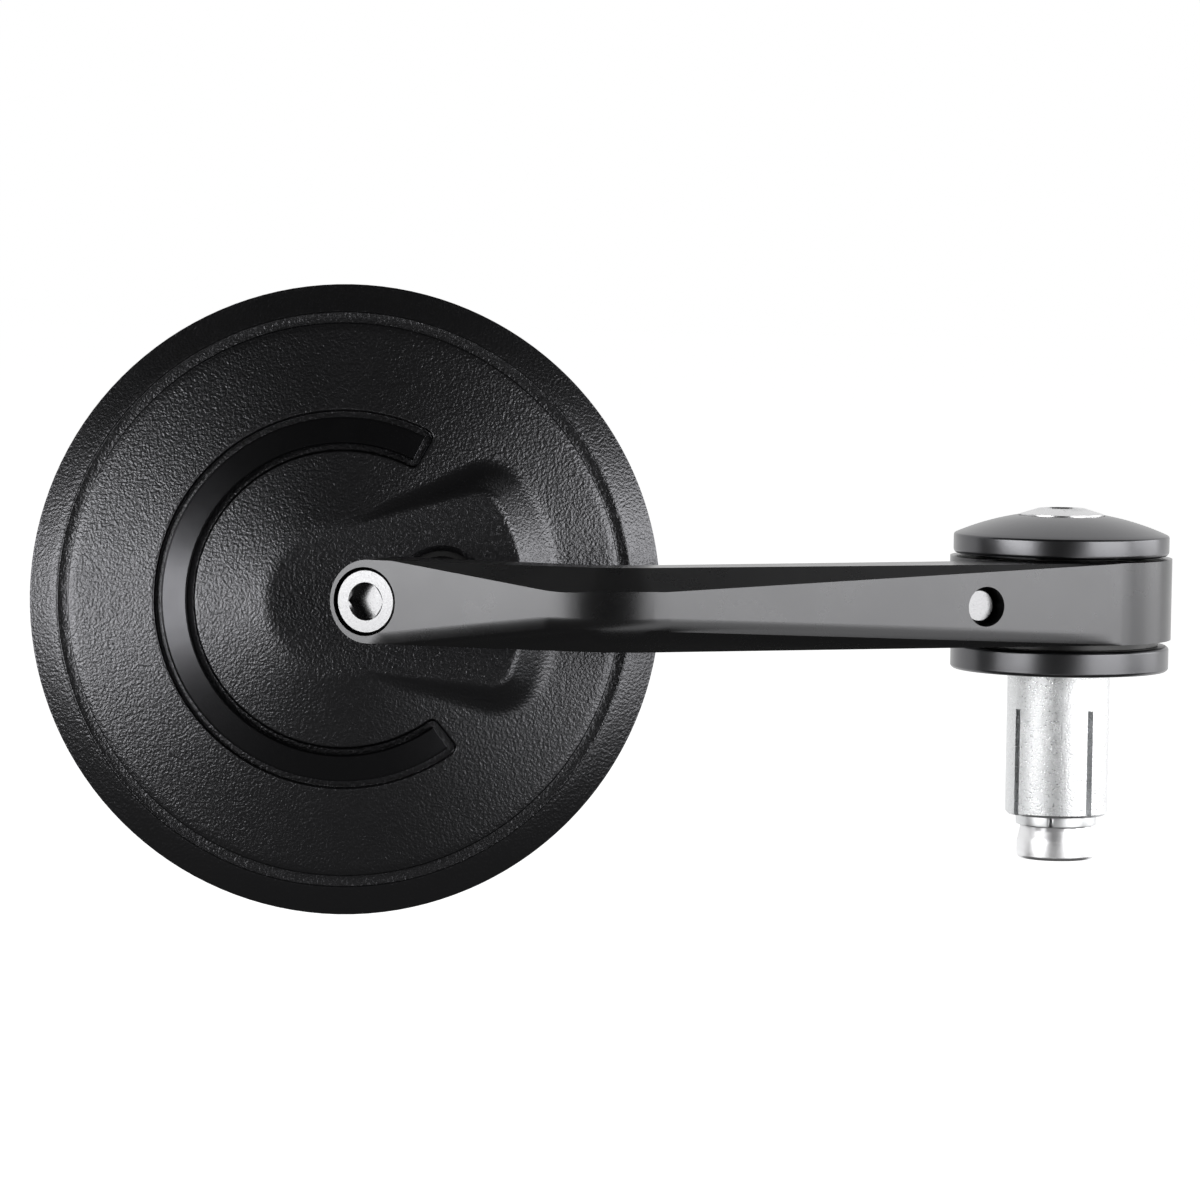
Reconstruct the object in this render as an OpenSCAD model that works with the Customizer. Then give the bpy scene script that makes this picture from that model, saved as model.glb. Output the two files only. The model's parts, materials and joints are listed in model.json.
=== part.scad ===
// Motorcycle bar end mirror: clamp unit, bent arm, ball joint and round mirror head.
// Origin: centre of the flange's underside, on the axis of the handlebar plug.
// +Z runs up along the plug axis, +X away from the mirror, -Y to the front of the arm.

/* [Mirror head] */
// Outer diameter of the head
head_d = 98; // [90:1:110]
// Height of the straight wall at the rim
rim_h = 6; // [5:0.5:8]
// Width of the sloped band along the rim
band_w = 4.4; // [3:0.1:6]
// Rise of the sloped band
band_rise = 2.6; // [1.5:0.1:4]
// Width of the ring groove inside the band
groove_w = 1.8; // [1:0.1:2.5]
// Depth of the ring groove
groove_depth = 0.6; // [0.3:0.1:0.8]
// Rise of the conical back from the groove to the plateau
cone_rise = 6.6; // [5:0.1:8]
// Radius of the flat plateau on the back
plateau_r = 11.6; // [10:0.1:13]
// Wall thickness of the shell
shell_wall = 2.2; // [1.6:0.1:3]
// Wall thickness round the glass
rim_wall = 1.8; // [1.4:0.1:2.5]

/* [Ball boss] */
// Distance from the head's centre to the ball's centre
ball_offset = 15.3; // [14:0.1:17]
// Radius of the boss's curved right edge
boss_reach = 28.3; // [26:0.1:31]
// Half width of the boss at its curved right edge
boss_half_w = 16.3; // [15:0.1:18]
// Corner radius of the boss
boss_corner = 3.5; // [2:0.1:5]
// Outer radius of the housing round the ball
housing_r = 12; // [11:0.1:13]

/* [Trim] */
// Inner radius of the recess for the C-shaped trim
recess_r_in = 22.9; // [22:0.1:25]
// Outer radius of that recess
recess_r_out = 29.2; // [28:0.1:32]
// Depth of that recess
recess_depth = 1.4; // [0.6:0.1:1.5]
// Gap between the trim and the walls of its recess
trim_gap = 1.1; // [0.5:0.1:1.5]
// Thickness of the trim
trim_t = 1.8; // [0.8:0.1:2.2]
// Angle left open by the trim, in degrees
trim_open = 118; // [90:1:180]

/* [Glass] */
// Thickness of the mirror glass
glass_t = 1.8; // [1.5:0.1:2.2]
// Bulge of the convex glass
glass_bulge = 0.9; // [0.4:0.1:1.1]
// Depth of the glass centre below the rim
glass_sink = 0.2; // [0.1:0.1:0.5]
// Width of the soft ring round the glass
gasket_w = 1; // [0.8:0.1:1.4]
// Thickness of the adhesive pad
pad_t = 0.8; // [0.5:0.1:1]

/* [Ball joint] */
// Diameter of the ball
ball_d = 12; // [11:0.1:13]
// Thickness of the plastic liner
liner_t = 0.8; // [0.7:0.1:1]
// Running clearance on each side of the liner
ball_clear = 0.05; // [0.03:0.01:0.08]
// Radius of the opening in the boss
opening_r = 6.4; // [6:0.1:6.6]
// Width of the chamfer round the opening
opening_chamfer = 0.8; // [0.5:0.1:1]
// Depth of the ball's centre below the plateau
ball_sink = 4; // [3.8:0.1:4.6]
// Radius of the neck next to the ball
neck_r = 3.2; // [3:0.1:3.4]
// Radius of the collar that bears on the arm
collar_r = 5.2; // [4.5:0.1:5.8]
// Thickness of the plate that closes the seat
plate_t = 1.8; // [1.5:0.1:2.2]

/* [Arm] */
// Height of the flat bar
arm_h = 12.6; // [11:0.1:14]
// Thickness of the flat bar
arm_t = 10; // [9:0.1:11]
// Sideways slope of the leg at the eye, in degrees
right_slope = 24; // [18:1:30]
// Sideways slope of the leg at the ball, in degrees
left_slope = 25; // [18:1:30]
// Outside radius of the bend
bend_r = 23; // [20:0.5:28]
// Half height of the front face along the bend
bend_face_half = 3; // [2:0.1:5]
// Depth of the long chamfers at the bend
chamfer_depth = 4; // [2.5:0.1:5]
// Length over which the left chamfers run out
left_runout = 25; // [20:1:32]
// Length over which the right chamfers run out
right_runout = 77; // [60:1:90]
// Distance from the ball's centre to the arm's front face
stud_reach = 26; // [25:0.1:28]
// Distance from the joint screw's axis to the arm's end
end_reach = 5.8; // [5.7:0.1:6.5]
// Sideways place of the ball's centre from the plug axis
ball_x = -96.3; // [-110:0.1:-85]
// Fore and aft place of the ball's centre
ball_y = -10; // [-14:0.1:-6]

/* [Eye and its clamp] */
// Outer radius of the eye
eye_r = 17.3; // [16.5:0.1:18]
// Radius of the hub inside the eye
hub_r = 10; // [9:0.1:11]
// Running clearance of the eye on its hub
eye_clear = 0.05; // [0.02:0.01:0.1]
// Width of the clamp slit
slit_w = 1; // [0.8:0.1:1.5]
// Depth of the slit below the front face
slit_depth = 12; // [11:0.1:13]
// Distance from the plug axis to the clamp screw
clamp_x = 22.2; // [20:0.1:23]
// Distance from the plug axis to the end of the slit
slit_reach = 29; // [28:0.5:31]
// Distance from the plug axis to where the neck has run out
neck_reach = 44; // [40:1:50]
// Step from the arm's top down to the top of the neck
neck_inset = 1.3; // [1:0.1:1.6]

/* [Bar end unit] */
// Thickness of the lower flange
flange_t = 4; // [3:0.1:5]
// Radius of the flange
flange_r = 17; // [16:0.1:18]
// Radius of the cap
cap_r = 16.8; // [16:0.1:18]
// Gap between the flange and the arm
lower_gap = 1; // [0.8:0.1:1.5]
// Gap between the arm and the cap
upper_gap = 0.4; // [0.3:0.1:1]
// Height of the cap's straight side
cap_side_h = 3.1; // [2.5:0.1:4]
// Radius of the cap's dome
cap_dome_r = 41; // [36:1:50]
// Floor left under the bolt head
cap_floor = 2.2; // [1.5:0.1:2.5]
// Diameter of the bolt head
bolt_head_d = 13; // [12:0.1:14]
// Height of the bolt head
bolt_head_h = 5; // [4.6:0.1:5.4]
// Rise of the bolt head's crowned top
bolt_crown = 0.9; // [0.3:0.1:1.2]
// Radius of the flat on that top
bolt_flat_r = 3.6; // [3.3:0.1:5]
// Diameter of the bolt shank
bolt_d = 8; // [7:0.1:8.2]
// Diameter of the expansion sleeve
sleeve_d = 16; // [14:0.1:18]
// Length of the expansion sleeve
sleeve_l = 22.7; // [18:0.1:30]
// Bore of the expansion sleeve
sleeve_bore = 11; // [10.6:0.1:11.4]
// Width of the slots in the sleeve
slot_w = 1.1; // [0.8:0.1:1.5]
// Solid length left above the slots
slot_start = 6; // [4:0.5:8]
// Depth of the recess that holds the sleeve's top
sleeve_sink = 0.3; // [0.2:0.1:1]
// Diameter of the expander ring
ring_d = 12.6; // [12.4:0.1:13]
// Visible height of the expander ring
ring_h = 1.6; // [1.2:0.1:2]
// Height of the ring's cone inside the sleeve
ring_cone_h = 4; // [3:0.1:5]
// Widening of the ring's cone for each millimetre of its height
ring_taper = 0.14; // [0.1:0.01:0.16]
// Distance from the flange down to the top of the ring's guide tube
guide_top = 3; // [2:0.5:6]
// Diameter of the cone nut
nut_d = 12.2; // [11.6:0.1:12.6]
// Height of the cone nut
nut_h = 5.3; // [4.5:0.1:6]

/* [Screws] */
// Diameter of the joint screw
joint_d = 5; // [4.8:0.1:5.2]
// Head diameter of the joint screw
joint_head_d = 9.7; // [9:0.1:9.8]
// Gap between the joint screw's head and its counterbore
joint_gap = 0.35; // [0.2:0.05:0.5]
// Head height of the joint screw
joint_head_h = 5; // [4.6:0.1:5]
// Length of the joint screw's shank
joint_l = 20; // [16:1:21]
// Depth of the joint screw's head below the arm's face
joint_sink = 0.4; // [0.2:0.1:0.8]
// Thickness of the spring washer
lock_t = 1.2; // [0.8:0.1:1.2]
// Diameter of the clamp screw
clamp_d = 6; // [5:0.1:6.2]
// Head diameter of the clamp screw
clamp_head_d = 8.5; // [8:0.1:8.8]
// Head height of the clamp screw
clamp_head_h = 6; // [5:0.1:6]
// Length of the clamp screw's shank
clamp_l = 16; // [15:0.5:16.5]
// Depth of the clamp screw's tip below the front face
clamp_tip = 2.4; // [1.5:0.1:3]
// Diameter of the plate screws
plate_screw_d = 2; // [1.6:0.1:2.2]
// Head diameter of the plate screws
plate_head_d = 3.6; // [3.2:0.1:3.8]
// Head height of the plate screws
plate_head_h = 1; // [0.8:0.1:1]

/* [Pose of the head] */
// Backward tilt of the head, in degrees
head_tilt = 4; // [0:1:8]
// Turn of the head about its own axis, in degrees
head_roll = 5; // [0:1:10]

/* [Hidden] */
$fn = 96;
fine_fn = 64;
fit = 0.05;
eps = 0.01;
edge = 0.4;
hex_ratio = 0.6;
tip_ratio = 0.12;
socket_chamfer = 0.5;
far = 200;

head_r = head_d / 2;
band_r = head_r - band_w;
groove_r = band_r - groove_w;
band_top = rim_h + band_rise;
face_start = band_top + 0.3;
cone_slope = atan(cone_rise / (groove_r - plateau_r));
plateau_z = face_start + cone_rise;
glass_r = head_r - rim_wall - gasket_w;
bulge_r = (glass_r * glass_r + glass_bulge * glass_bulge) / (2 * glass_bulge);
glass_steps = 10;
glass_back = glass_sink + glass_t + glass_bulge;
pad_r = glass_r - 4;
pad_z = glass_back + fit;
cavity_z = pad_z + pad_t + fit;
ball_z = plateau_z - ball_sink;

ball_r = ball_d / 2;
liner_in = ball_r + ball_clear;
liner_out = liner_in + liner_t;
seat_r = liner_out + ball_clear;
liner_lip_r = 5.5;
lip_z = sqrt(seat_r * seat_r - opening_r * opening_r);
plate_top = ball_z - 0.7 * seat_r;
plate_r = housing_r - 0.2;
plate_screw_r = (seat_r + housing_r) / 2 + 0.15;
plate_screw_l = 5;

arm_z = flange_t + lower_gap;
arm_mid = arm_z + arm_h / 2;
half_h = arm_h / 2;
arm_rear = stud_reach - arm_t;
right_n = [sin(right_slope), -cos(right_slope)];
left_n = [-sin(left_slope), -cos(left_slope)];
ball_xy = [ball_x, ball_y];
left_d = ball_xy * left_n + stud_reach;

// Where two lines given by their normals and distances cross
function cross_point(d1, d2) = let(det = right_n.x * left_n.y - right_n.y * left_n.x)
    [(d1 * left_n.y - d2 * right_n.y) / det, (right_n.x * d2 - left_n.x * d1) / det];
bend_centre = cross_point(eye_r - bend_r, left_d - bend_r);
right_dir = [-cos(right_slope), -sin(right_slope)];
left_dir = [cos(left_slope), -sin(left_slope)];
right_len = bend_centre * right_dir;
left_len = (bend_centre - ball_xy) * left_dir;

cap_z = arm_z + arm_h + upper_gap;
cap_shoulder = cap_z + cap_side_h;
bolt_seat = cap_z + cap_floor;
nut_top = -sleeve_l - ring_h;
cone_in = sleeve_bore / 2 + ring_cone_h * ring_taper;
bolt_end = nut_top - nut_h + 0.8;

// Places its children in the head's frame: z to the back of the head, x towards the ball
module in_head() {
    translate([ball_x, ball_y, arm_mid])
        rotate([90 - head_tilt, 0, 0]) rotate([0, 0, head_roll])
            translate([-ball_offset, 0, -ball_z]) children();
}

// Places its children on the stud's axis: origin at the ball's centre, z towards the screw
module on_stud() {
    translate([ball_x, ball_y, arm_mid]) rotate([0, 0, -left_slope]) rotate([90, 0, 0]) children();
}

// Frame of a leg's front face: x along the leg, y down, z out of the face
module on_right_face(along) {
    translate([0, 0, arm_mid]) rotate([0, 0, right_slope])
        translate([-along, -eye_r, 0]) rotate([90, 0, 0]) children();
}

module tube(r_out, r_in, h) {
    difference() {
        cylinder(r = r_out, h = h);
        translate([0, 0, -eps]) cylinder(r = r_in, h = h + 2 * eps);
    }
}

// Socket screw along z with its seat at 0, its shank downwards and its head above.
// The head's top slopes by a rise from its rim to its flat
module socket_screw(d, l, head_d, head_h, socket, rise, flat_r) {
    tip = tip_ratio * d;
    difference() {
        union() {
            translate([0, 0, -l]) cylinder(r1 = d / 2 - tip, r2 = d / 2, h = tip);
            translate([0, 0, tip - l]) cylinder(r = d / 2, h = l - tip + eps);
            cylinder(r = head_d / 2, h = head_h - rise);
            translate([0, 0, head_h - rise]) cylinder(r1 = head_d / 2, r2 = flat_r, h = rise);
        }
        translate([0, 0, head_h - socket_chamfer])
            cylinder(r1 = socket / 2, r2 = socket / sqrt(3) + eps, h = socket_chamfer + eps);
        translate([0, 0, head_h * (1 - hex_ratio)])
            cylinder(r = socket / sqrt(3), h = head_h, $fn = 6);
    }
}

// Bar end unit

module flange_hub() {
    color("#1c1c1e") difference() {
        union() {
            cylinder(r1 = flange_r - edge, r2 = flange_r, h = edge);
            translate([0, 0, edge]) cylinder(r = flange_r, h = flange_t - 2 * edge);
            translate([0, 0, flange_t - edge]) cylinder(r1 = flange_r, r2 = flange_r - edge, h = edge);
            cylinder(r = hub_r, h = cap_z);
        }
        translate([0, 0, -eps]) cylinder(r = bolt_d / 2 + 0.2, h = cap_z + 1);
        translate([0, 0, -eps]) cylinder(r = sleeve_d / 2 + 2 * fit, h = sleeve_sink + eps);
    }
}

module expansion_sleeve() {
    color("#b9bbbd") difference() {
        union() {
            translate([0, 0, -sleeve_l]) cylinder(r1 = sleeve_d / 2 - edge, r2 = sleeve_d / 2, h = edge);
            translate([0, 0, edge - sleeve_l]) cylinder(r = sleeve_d / 2, h = sleeve_l - edge);
            translate([0, 0, -edge]) cylinder(r = sleeve_d / 2 - edge, h = edge + sleeve_sink - fit);
        }
        translate([0, 0, -sleeve_l - eps]) cylinder(r = sleeve_bore / 2, h = sleeve_l + 1);
        translate([0, 0, -sleeve_l - eps])
            cylinder(r1 = cone_in + fit, r2 = sleeve_bore / 2, h = ring_cone_h + fit);
        for (turn = [-55.5 : 90 : 214.5])
            rotate([0, 0, turn]) translate([-slot_w / 2, -sleeve_d, -sleeve_l - eps])
                cube([slot_w, sleeve_d, sleeve_l - slot_start]);
    }
}

module expander_ring() {
    guide_r = sleeve_bore / 2 - 2 * fit;
    color("#a4a6a8") difference() {
        union() {
            translate([0, 0, nut_top]) cylinder(r = ring_d / 2, h = ring_h - fit);
            translate([0, 0, -sleeve_l - fit - eps]) cylinder(r1 = cone_in - fit, r2 = guide_r, h = ring_cone_h);
            translate([0, 0, nut_top + eps]) cylinder(r = guide_r, h = -nut_top - guide_top);
        }
        translate([0, 0, nut_top - eps]) cylinder(r = bolt_d / 2 + 0.1, h = -nut_top);
        rotate([0, 0, -12]) translate([-0.2, -ring_d, nut_top - eps]) cube([0.4, ring_d, -nut_top]);
    }
}

module cone_nut() {
    color("#9fa1a3") translate([0, 0, nut_top - nut_h]) difference() {
        union() {
            cylinder(r1 = nut_d / 2 - edge, r2 = nut_d / 2, h = edge);
            translate([0, 0, edge]) cylinder(r = nut_d / 2, h = nut_h / 2 - edge);
            translate([0, 0, nut_h / 2])
                cylinder(r1 = nut_d / 2, r2 = nut_d / 2 - 1.5 * edge, h = nut_h / 2 - fit);
        }
        translate([0, 0, -eps]) cylinder(r = bolt_d / 2 + fit, h = nut_h + 1);
    }
}

module centre_bolt() {
    color("#c9cbcd") translate([0, 0, bolt_seat])
        socket_screw(bolt_d, bolt_seat - bolt_end, bolt_head_d, bolt_head_h, 5, bolt_crown, bolt_flat_r);
}

module end_cap() {
    dome_z = cap_shoulder - sqrt(cap_dome_r * cap_dome_r - cap_r * cap_r);
    color("#1c1c1e") difference() {
        intersection() {
            translate([0, 0, cap_z]) cylinder(r = cap_r, h = far / 2);
            union() {
                translate([0, 0, cap_z]) cylinder(r1 = cap_r - edge, r2 = cap_r, h = edge);
                translate([0, 0, cap_z + edge]) rotate_extrude()
                    intersection() {
                        square([cap_r + 1, far / 2]);
                        translate([0, dome_z - cap_z - edge]) circle(r = cap_dome_r, $fn = 180);
                    }
            }
        }
        translate([0, 0, cap_z - eps]) cylinder(r = bolt_d / 2 + 0.2, h = far / 2);
        translate([0, 0, bolt_seat]) cylinder(r = bolt_head_d / 2 + 0.25, h = far / 2);
    }
}

module upper_washer() {
    color("#8d8f91") translate([0, 0, arm_z + arm_h + fit])
        tube(eye_r - 4, hub_r + 0.2, upper_gap - 2 * fit);
}

module lower_washer() {
    color("#8d8f91") translate([0, 0, flange_t]) tube(eye_r - 2, hub_r + 0.2, lower_gap - fit);
}

// Arm

// Cuts away what lies above a plane through a point, within a box on one leg and part of the bend
module plane_cut(p, n, box_l) {
    overrun = 9;
    intersection() {
        translate(p) rotate([0, acos(n.z / norm(n)), atan2(n.y, n.x)])
            translate([-far / 2, -far / 2, 0]) cube([far, far, far / 4]);
        translate([-overrun, -far / 4, -1]) cube([box_l + overrun, far / 2, far / 4]);
    }
}

// One long chamfer: x from the bend to the leg's end, y behind the front face, z above mid height
module leg_chamfer(runout, box_l) {
    drop = half_h - bend_face_half;
    plane_cut([0, 0, bend_face_half - 0.02], [-drop / runout, -drop / chamfer_depth, 1], box_l);
}

module bend_chamfer() {
    translate([bend_centre.x, bend_centre.y, arm_mid]) rotate([0, 0, -90 - left_slope])
        rotate_extrude(angle = left_slope + right_slope)
            polygon([[bend_r - chamfer_depth, half_h + eps], [bend_r, bend_face_half],
                [bend_r + 2, bend_face_half], [bend_r + 2, half_h + eps]]);
}

module arm_plan() {
    bend_turn = left_slope + right_slope;
    circle(r = eye_r);
    rotate(right_slope) {
        translate([-right_len, -eye_r]) square([right_len, arm_t]);
        translate([-right_len, bend_r - eye_r]) {
            intersection() {
                difference() {
                    circle(r = bend_r);
                    circle(r = bend_r - arm_t);
                }
                polygon([[0, 0], [0, -far], [-far * tan(bend_turn), -far]]);
            }
            rotate(-bend_turn) translate([-left_len - end_reach, -bend_r])
                square([left_len + end_reach, arm_t - eps]);
        }
    }
}

// Turns a point of the right leg's plan into the arm's plan
function on_leg(p) = p.x * -right_dir + p.y * -right_n;

// Gusset between the rear of the eye and the rear of the right leg, its ends sunk into both
function neck_outline() = let(
    tip = [-neck_reach, arm_t - eye_r - eps],
    reach = norm(tip),
    toward = atan2(-tip.y, -tip.x),
    touch_r = eye_r - 0.2,
    spread = asin(touch_r / reach),
    run = sqrt(reach * reach - touch_r * touch_r))
    [on_leg(tip), on_leg(tip + run * [cos(toward + spread), sin(toward + spread)]), [0, 0],
        on_leg([0, 1 - eye_r]), on_leg([-neck_reach, 1 - eye_r])];

// Cuts the flat end of the bar to a half round in the plane of its face
module round_end() {
    on_stud() difference() {
        translate([-2 * half_h - end_reach, -arm_h, arm_rear - 1])
            cube([2 * half_h, 2 * arm_h, arm_t + 2]);
    }
    on_stud() difference() {
        translate([-end_reach - 1, -arm_h, arm_rear - 1]) cube([half_h + 1, 2 * arm_h, arm_t + 2]);
        translate([half_h - end_reach, 0, arm_rear - 2]) cylinder(r = half_h, h = arm_t + 4);
    }
}

module clamp_cuts() {
    slit_y = slit_depth - eye_r;
    rotate([0, 0, right_slope]) {
        translate([-slit_reach, slit_y - slit_w / 2, arm_z - 1]) cube([slit_reach, slit_w, arm_h + 2]);
        translate([-slit_reach, slit_y - slit_w / 2, arm_z - 1]) cube([slit_w, eye_r, arm_h + 2]);
    }
    on_right_face(clamp_x) {
        translate([0, 0, -slit_depth]) cylinder(r = clamp_d / 2 + fit, h = slit_depth + 1);
        translate([0, 0, -clamp_tip - clamp_l])
            cylinder(r = clamp_d / 2 + 0.2, h = clamp_l - slit_depth + clamp_tip + eps);
        translate([0, 0, -clamp_tip - clamp_l - far / 4]) cylinder(r = clamp_head_d / 2 + 0.2, h = far / 4);
    }
}

module joint_bore() {
    head_seat = stud_reach - joint_sink - joint_head_h - lock_t;
    on_stud() {
        cylinder(r = joint_d / 2 + 0.15, h = far / 4);
        translate([0, 0, head_seat]) cylinder(r = joint_head_d / 2 + joint_gap, h = far / 4);
    }
}

module arm() {
    color("#3a3a3d") difference() {
        union() {
            translate([0, 0, arm_z]) linear_extrude(arm_h) arm_plan();
            translate([0, 0, arm_z + neck_inset]) linear_extrude(arm_h - 2 * neck_inset)
                polygon(neck_outline());
        }
        translate([0, 0, arm_z - 1]) cylinder(r = hub_r + eye_clear, h = arm_h + 2);
        round_end();
        for (side = [0, 1]) translate([0, 0, side * 2 * arm_mid]) mirror([0, 0, side]) {
            bend_chamfer();
            translate([0, 0, arm_mid]) rotate([0, 0, right_slope]) translate([-right_len, -eye_r, 0])
                leg_chamfer(right_runout, right_len + eye_r + 1);
            translate([ball_x, ball_y, arm_mid]) rotate([0, 0, -left_slope])
                translate([left_len, -stud_reach, 0]) mirror([1, 0, 0])
                    leg_chamfer(left_runout, left_len + end_reach + 1);
        }
        clamp_cuts();
        joint_bore();
    }
}

module clamp_screw() {
    color("#c9cbcd") on_right_face(clamp_x) translate([0, 0, -clamp_tip - clamp_l]) mirror([0, 0, 1])
        socket_screw(clamp_d, clamp_l, clamp_head_d, clamp_head_h, 4, edge / 2, (clamp_head_d - edge) / 2);
}

// Ball joint

module joint_screw() {
    color("#d2d4d6") on_stud() translate([0, 0, stud_reach - joint_sink - joint_head_h])
        socket_screw(joint_d, joint_l, joint_head_d, joint_head_h, 5, edge / 2, (joint_head_d - edge) / 2);
}

module lock_washer() {
    color("#b0b2b4") on_stud() translate([0, 0, stud_reach - joint_sink - joint_head_h - lock_t])
        difference() {
            tube(joint_head_d / 2, joint_d / 2 + 0.1, lock_t);
            translate([0, -0.4, -eps]) cube([joint_head_d, 0.8, lock_t + 1]);
        }
}

module ball_stud() {
    neck_end = arm_rear - fit;
    cone_start = ball_sink + 3.5;
    tap_end = stud_reach - joint_sink - joint_head_h - joint_l - 0.5;
    color("#9a9c9e") on_stud() difference() {
        union() {
            sphere(r = ball_r);
            cylinder(r = neck_r, h = cone_start + eps);
            translate([0, 0, cone_start]) cylinder(r1 = neck_r, r2 = collar_r, h = neck_end - 2 - cone_start);
            translate([0, 0, neck_end - 2 - eps]) cylinder(r = collar_r, h = 2 + eps);
        }
        translate([0, 0, tap_end]) cylinder(r = joint_d / 2 + fit, h = neck_end - tap_end + 1);
    }
}

module ball_liner() {
    lip = sqrt(liner_in * liner_in - liner_lip_r * liner_lip_r);
    foot = 0.66 * liner_out;
    color("#dcd9d2") in_head() translate([ball_offset, 0, ball_z]) difference() {
        sphere(r = liner_out);
        sphere(r = liner_in);
        translate([0, 0, lip]) cylinder(r = liner_out + 1, h = liner_out);
        translate([0, 0, -liner_out - 1]) cylinder(r = liner_out, h = liner_out + 1 - foot);
        for (turn = [0 : 90 : 270])
            rotate([0, 0, 45 + turn]) translate([0, -0.4, -liner_out])
                cube([liner_out + 1, 0.8, liner_out - 0.5]);
    }
}

// Mirror head

// Plan of the boss, grown by a margin
module boss_wedge(margin) {
    start_w = plateau_r - edge;
    offset(r = margin + boss_corner, $fn = fine_fn) offset(delta = -boss_corner) intersection() {
        circle(r = boss_reach, $fn = 128);
        polygon([[0, start_w], [2 * boss_reach, 2 * boss_half_w - start_w],
            [2 * boss_reach, start_w - 2 * boss_half_w], [0, -start_w]]);
    }
}

// Boss with 45 degree walls, its top shrunk by an inset
module boss(top, inset) {
    spread = top - rim_h;
    hull() {
        translate([0, 0, top - eps]) linear_extrude(eps) boss_wedge(-inset);
        translate([0, 0, top - spread]) linear_extrude(eps) boss_wedge(spread - inset);
    }
}

// Cone of the back with its flat plateau, from a height up
module face_cone(base, lift, shrink) {
    translate([0, 0, base]) cylinder(r1 = groove_r - shrink, r2 = groove_r - shrink, h = face_start + lift - base);
    translate([0, 0, face_start + lift - eps])
        cylinder(r1 = groove_r - shrink, r2 = plateau_r - shrink, h = plateau_z - face_start + eps);
}

module shell_outside() {
    cylinder(r1 = head_r - edge, r2 = head_r, h = edge);
    translate([0, 0, edge]) cylinder(r = head_r, h = rim_h - edge);
    translate([0, 0, rim_h - eps]) cylinder(r1 = head_r, r2 = band_r, h = band_rise);
    face_cone(rim_h, 0, 0);
    intersection() {
        boss(plateau_z, 0);
        cylinder(r = groove_r, h = plateau_z);
    }
}

module shell_inside() {
    cavity_r = groove_r - 1;
    translate([0, 0, -eps]) cylinder(r = head_r - rim_wall, h = cavity_z);
    translate([0, 0, cavity_z - 2 * eps])
        cylinder(r = cavity_r, h = face_start - shell_wall - cavity_z + 3 * eps);
    translate([0, 0, face_start - shell_wall])
        cylinder(r1 = cavity_r, r2 = plateau_r - 1, h = plateau_z - face_start);
}

module ball_housing() {
    translate([ball_offset, 0, plate_top]) cylinder(r = housing_r, h = plateau_z - plate_top - shell_wall);
}

module recess_ring() {
    mid = (recess_r_in + recess_r_out) / 2;
    mid_z = face_start + (groove_r - mid) * tan(cone_slope);
    translate([0, 0, mid_z - recess_depth]) difference() {
        rotate_extrude() translate([recess_r_in, 0])
            polygon([[0, recess_half_w() * tan(cone_slope)], [2 * recess_half_w(), -recess_half_w() * tan(cone_slope)],
                [2 * recess_half_w(), 4], [0, 4]]);
        trim_gap_wedge(trim_open / 2 - asin(trim_gap / mid));
    }
}

function recess_half_w() = (recess_r_out - recess_r_in) / 2;

module trim_gap_wedge(half) {
    translate([0, 0, -rim_h]) linear_extrude(3 * rim_h)
        polygon([[0, 0], far * [cos(half), sin(half)], [far * 2, 0], far * [cos(half), -sin(half)]]);
}

module plate_screw_places() {
    for (turn = [60, 180, 300])
        translate([ball_offset, 0, 0]) rotate([0, 0, turn]) translate([plate_screw_r, 0, plate_top])
            children();
}

module mirror_shell() {
    color("#232325") in_head() difference() {
        shell_outside();
        translate([0, 0, band_top - groove_depth]) tube(band_r, groove_r, groove_depth + 1);
        difference() {
            shell_inside();
            ball_housing();
        }
        translate([ball_offset, 0, ball_z]) {
            sphere(r = seat_r);
            translate([0, 0, -seat_r - 1]) cylinder(r = seat_r, h = seat_r + 1);
            translate([0, 0, 0]) cylinder(r = opening_r, h = far / 4);
            translate([0, 0, ball_sink - opening_chamfer])
                cylinder(r1 = opening_r, r2 = opening_r + opening_chamfer + 1, h = opening_chamfer + 1);
        }
        recess_ring();
        plate_screw_places() translate([0, 0, -1]) cylinder(r = plate_screw_d / 2 + fit, h = plate_screw_l);
    }
}

module trim_arc() {
    mid = (recess_r_in + recess_r_out) / 2;
    half_w = recess_half_w() - trim_gap;
    mid_z = face_start + (groove_r - mid) * tan(cone_slope) - recess_depth + fit;
    rise = half_w * tan(cone_slope);
    color("#141416") in_head() translate([0, 0, mid_z]) difference() {
        rotate_extrude() translate([mid, 0])
            polygon([[-half_w, rise], [half_w, -rise], [half_w, trim_t - rise - 0.3],
                [half_w - 0.3, trim_t - rise], [0.3 - half_w, trim_t + rise], [-half_w, trim_t + rise - 0.3]]);
        trim_gap_wedge(trim_open / 2);
    }
}

module retainer_plate() {
    color("#a9abad") in_head() difference() {
        translate([ball_offset, 0, plate_top - plate_t]) cylinder(r = plate_r, h = plate_t - fit);
        translate([ball_offset, 0, ball_z]) sphere(r = seat_r);
        plate_screw_places() translate([0, 0, -plate_t - 1]) cylinder(r = plate_screw_d / 2 + 0.2, h = plate_t + 2);
    }
}

module retainer_screws() {
    color("#c9cbcd") in_head() plate_screw_places() translate([0, 0, -plate_t]) mirror([0, 0, 1])
        socket_screw(plate_screw_d, plate_screw_l, plate_head_d, plate_head_h, 1.3, edge / 2,
            (plate_head_d - edge) / 2);
}

// Depth of the bulged glass at a radius, measured from its centre
function bulge(r) = bulge_r - sqrt(bulge_r * bulge_r - r * r);

module glass_pad() {
    color("#2c2c2c") in_head() translate([0, 0, pad_z]) cylinder(r = pad_r, h = pad_t);
}

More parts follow.
